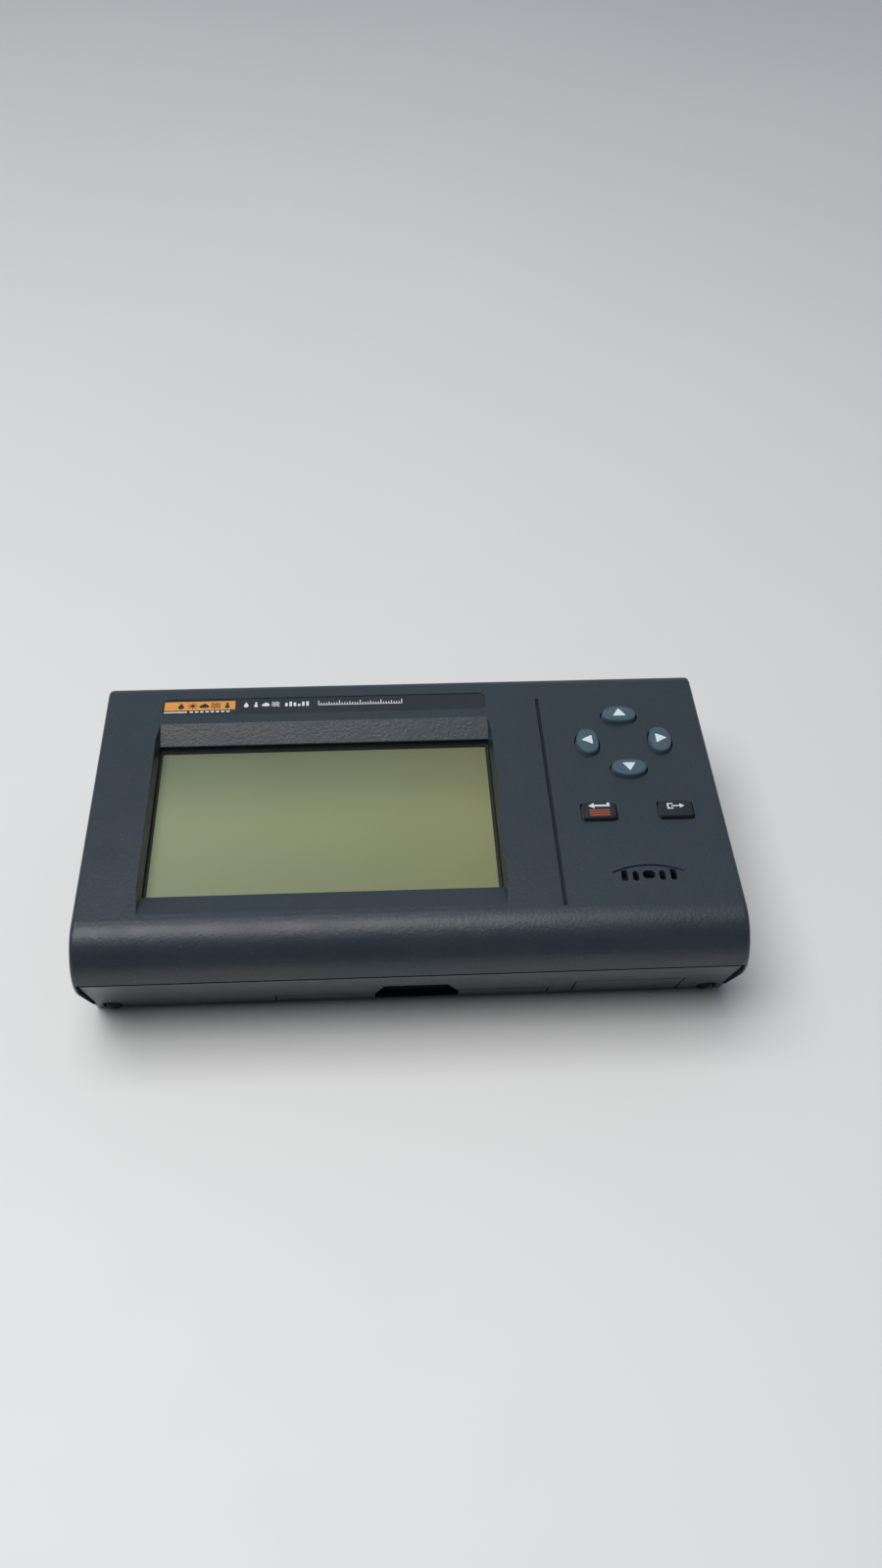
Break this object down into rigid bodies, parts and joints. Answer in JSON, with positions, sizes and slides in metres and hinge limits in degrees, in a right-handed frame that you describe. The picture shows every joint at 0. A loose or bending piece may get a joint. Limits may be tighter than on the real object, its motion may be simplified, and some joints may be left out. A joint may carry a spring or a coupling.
{
  "type": "bench thermo-hygrometer",
  "caption": "Bench and wall thermo-hygrometer with a large liquid crystal window, arrow and action keys, sounder grille, sensor sockets, slanted foot and fold-out easel stand.",
  "frame": {"origin": "centre of the base, on the plane that the rubber feet stand on, with the unit lying on its back", "axes": "+X to the right along the long side, +Y to the far (upper) end that holds the sensor sockets, +Z out of the front face"},
  "size_m": [0.211, 0.125, 0.051],
  "materials": {
    "case_plastic": "matt, finely textured slate blue-grey moulding",
    "window": "clear scratch-resistant window",
    "black_foam": "matt black foam",
    "black_steel": "black painted pressed sheet",
    "lcd_film": "olive reflective liquid crystal panel",
    "white_plastic": "milky light guide",
    "circuit_board": "green solder mask",
    "zinc_screw": "zinc plated",
    "plate_film": "dark smooth printed film",
    "grey_rubber": "grey silicone",
    "black_plastic": "black moulding",
    "blue_rubber": "blue-grey silicone, matt",
    "black_rubber": "near-black silicone, matt",
    "can_metal": "sleeved aluminium can",
    "socket_metal": "satin nickel plate",
    "shield_metal": "tinned sheet",
    "contact_brass": "gold flashed",
    "battery_shell": null,
    "pin_steel": "ground pin",
    "foot_rubber": "black elastomer",
    "label_film": "silver-grey film label with ruled boxes and no lettering"
  },
  "bodies": {
    "case": {"front_shell": "case_plastic", "rear_shell": "case_plastic", "display_lens": "window", "lens_gasket": "black_foam", "lcd_bezel": "black_steel", "lcd_glass": "lcd_film", "lcd_backlight": "white_plastic", "lcd_board": "circuit_board", "lcd_screws": "zinc_screw", "name_plate": "plate_film", "keypad_membrane": "grey_rubber", "keypad_board": "circuit_board", "keypad_screws": "zinc_screw", "key_switches": "black_plastic", "buzzer": "black_plastic", "main_board": "circuit_board", "board_chips": "black_plastic", "power_capacitors": "can_metal", "board_headers": "black_plastic", "board_screws": "zinc_screw", "sensor_socket_left": "socket_metal", "sensor_socket_right": "socket_metal", "sensor_inserts": "black_plastic", "sensor_nuts": "socket_metal", "dc_jack": "black_plastic", "dc_jack_pin": "contact_brass", "serial_jack": "black_plastic", "ethernet_port": "shield_metal", "ethernet_contacts": "contact_brass", "battery": "battery_shell", "battery_contacts": "contact_brass", "stand_hinge_pins": "pin_steel", "rubber_feet": "foot_rubber", "case_screws": "zinc_screw", "rating_label": "label_film"},
    "key_up_body": {"key_up": "blue_rubber"},
    "key_down_body": {"key_down": "blue_rubber"},
    "key_left_body": {"key_left": "blue_rubber"},
    "key_right_body": {"key_right": "blue_rubber"},
    "key_enter_body": {"key_enter": "black_rubber"},
    "key_exit_body": {"key_exit": "black_rubber"},
    "stand": {"tilt_stand": "case_plastic"},
    "door": {"battery_door": "case_plastic"}
  },
  "joints": [
    {"name": "key_up_press", "type": "slide", "parent": "case", "child": "key_up_body", "axis": [0, 0, -1], "range_m": [0, 0.001], "stiffness_N_per_m": 1200},
    {"name": "key_down_press", "type": "slide", "parent": "case", "child": "key_down_body", "axis": [0, 0, -1], "range_m": [0, 0.001], "stiffness_N_per_m": 1200},
    {"name": "key_left_press", "type": "slide", "parent": "case", "child": "key_left_body", "axis": [0, 0, -1], "range_m": [0, 0.001], "stiffness_N_per_m": 1200},
    {"name": "key_right_press", "type": "slide", "parent": "case", "child": "key_right_body", "axis": [0, 0, -1], "range_m": [0, 0.001], "stiffness_N_per_m": 1200},
    {"name": "key_enter_press", "type": "slide", "parent": "case", "child": "key_enter_body", "axis": [0, 0, -1], "range_m": [0, 0.001], "stiffness_N_per_m": 1200},
    {"name": "key_exit_press", "type": "slide", "parent": "case", "child": "key_exit_body", "axis": [0, 0, -1], "range_m": [0, 0.001], "stiffness_N_per_m": 1200},
    {"name": "stand_hinge", "type": "hinge", "parent": "case", "child": "stand", "pos_m": [0, 0.008, 0.0043], "axis": [1, 0, 0], "range_deg": [0, 60]},
    {"name": "door_slide", "type": "slide", "parent": "case", "child": "door", "axis": [0, -1, 0], "range_m": [0, 0.012]}
  ]
}
